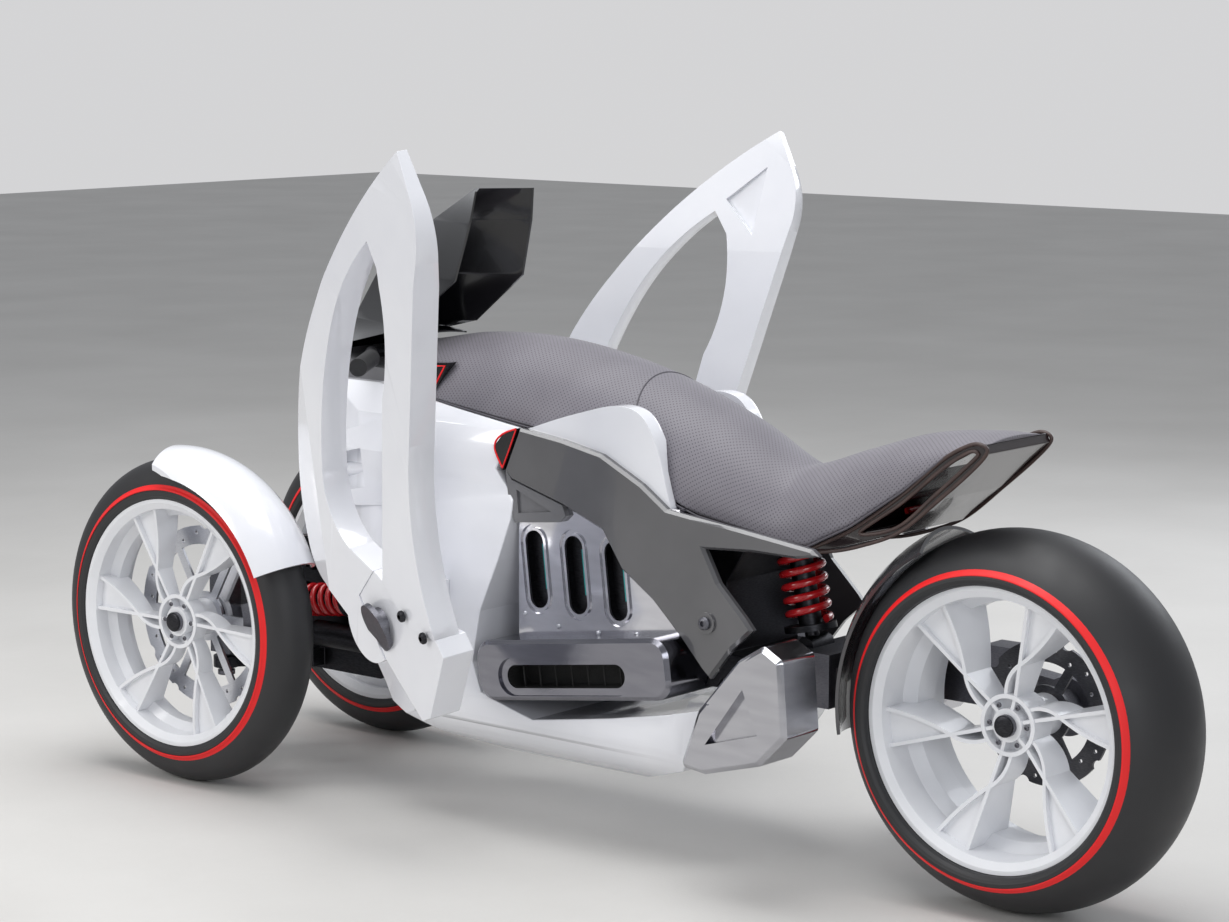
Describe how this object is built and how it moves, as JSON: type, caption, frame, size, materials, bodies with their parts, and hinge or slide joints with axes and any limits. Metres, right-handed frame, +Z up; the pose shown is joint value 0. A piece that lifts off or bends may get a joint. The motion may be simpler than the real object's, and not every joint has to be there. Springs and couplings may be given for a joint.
{
  "type": "three-wheeled motorcycle",
  "caption": "Leaning-style motorcycle with a pair of steered front wheels, one wide rear wheel, tall side hoops, a crowned saddle and a slotted engine.",
  "frame": {"origin": "on the ground under the middle of the vehicle's length and width", "axes": "+X to the rider's left, +Y rearward, +Z up"},
  "size_m": [1.0342, 2.2408, 1.1925],
  "materials": {
    "tyre": "matte",
    "white_wheel": "satin",
    "brake_steel": "brushed",
    "white_body": "gloss",
    "grey_panel": "gloss",
    "black_gloss": "gloss",
    "grey_trim": "satin",
    "leather": "perforated",
    "tail_black": "satin",
    "engine_chrome": "polished",
    "dark_metal": "satin",
    "cast_grey": "cast",
    "spring_red": "gloss",
    "polished_alloy": "polished",
    "grip_rubber": "matte"
  },
  "bodies": {
    "chassis": {"blinkers": "black_gloss", "body_shell": "white_body", "dash_pod": "grey_trim", "engine_block": "engine_chrome", "exhaust_box": "engine_chrome", "foot_pods": "polished_alloy", "front_beam": "dark_metal", "front_dampers": "dark_metal", "front_springs": "spring_red", "front_tubes": "dark_metal", "hoop_brackets": "white_body", "hugger": "grey_panel", "lamp_housings": "white_body", "left_hoop": "white_body", "lower_arms": "dark_metal", "pivot_caps": "cast_grey", "rear_caliper": "cast_grey", "rear_damper": "dark_metal", "rear_frame": "dark_metal", "rear_spring": "spring_red", "right_hoop": "white_body", "saddle": "leather", "side_displays": "black_gloss", "side_inserts": "white_body", "side_panels": "grey_panel", "swingarm": "cast_grey", "tail_loop": "tail_black", "upper_arms": "dark_metal", "vent_covers": "grey_trim", "windscreen": "black_gloss"},
    "left_upright": {"left_knuckle": "cast_grey", "left_fender": "white_body"},
    "right_upright": {"right_knuckle": "cast_grey", "right_fender": "white_body"},
    "steering": {"handlebar": "dark_metal", "grips": "grip_rubber"},
    "front_left_wheel": {"front_left_tyre": "tyre", "front_left_rim": "white_wheel", "front_left_disc": "brake_steel"},
    "front_right_wheel": {"front_right_tyre": "tyre", "front_right_rim": "white_wheel", "front_right_disc": "brake_steel"},
    "rear_wheel": {"rear_tyre": "tyre", "rear_rim": "white_wheel", "rear_disc": "brake_steel"}
  },
  "joints": [
    {"name": "left_steer", "type": "hinge", "parent": "chassis", "child": "left_upright", "pos_m": [0.172, -0.8205, 0.3], "axis": [0, 0, 1], "range_deg": [-18, 18]},
    {"name": "right_steer", "type": "hinge", "parent": "chassis", "child": "right_upright", "pos_m": [-0.172, -0.8205, 0.3], "axis": [0, 0, 1], "range_deg": [-18, 18]},
    {"name": "bar_steer", "type": "hinge", "parent": "chassis", "child": "steering", "pos_m": [0, -0.52, 0.752], "axis": [0, 0.2079, 0.9781], "range_deg": [-18, 18]},
    {"name": "front_left_spin", "type": "hinge", "parent": "left_upright", "child": "front_left_wheel", "pos_m": [0.2625, -0.8205, 0.3], "axis": [1, 0, 0], "continuous": true},
    {"name": "front_right_spin", "type": "hinge", "parent": "right_upright", "child": "front_right_wheel", "pos_m": [-0.2625, -0.8205, 0.3], "axis": [1, 0, 0], "continuous": true},
    {"name": "rear_spin", "type": "hinge", "parent": "chassis", "child": "rear_wheel", "pos_m": [0, 0.8145, 0.306], "axis": [1, 0, 0], "continuous": true}
  ],
  "couplings": [
    {"joint": "right_steer", "follows": "left_steer", "ratio": 1},
    {"joint": "bar_steer", "follows": "left_steer", "ratio": 1}
  ]
}
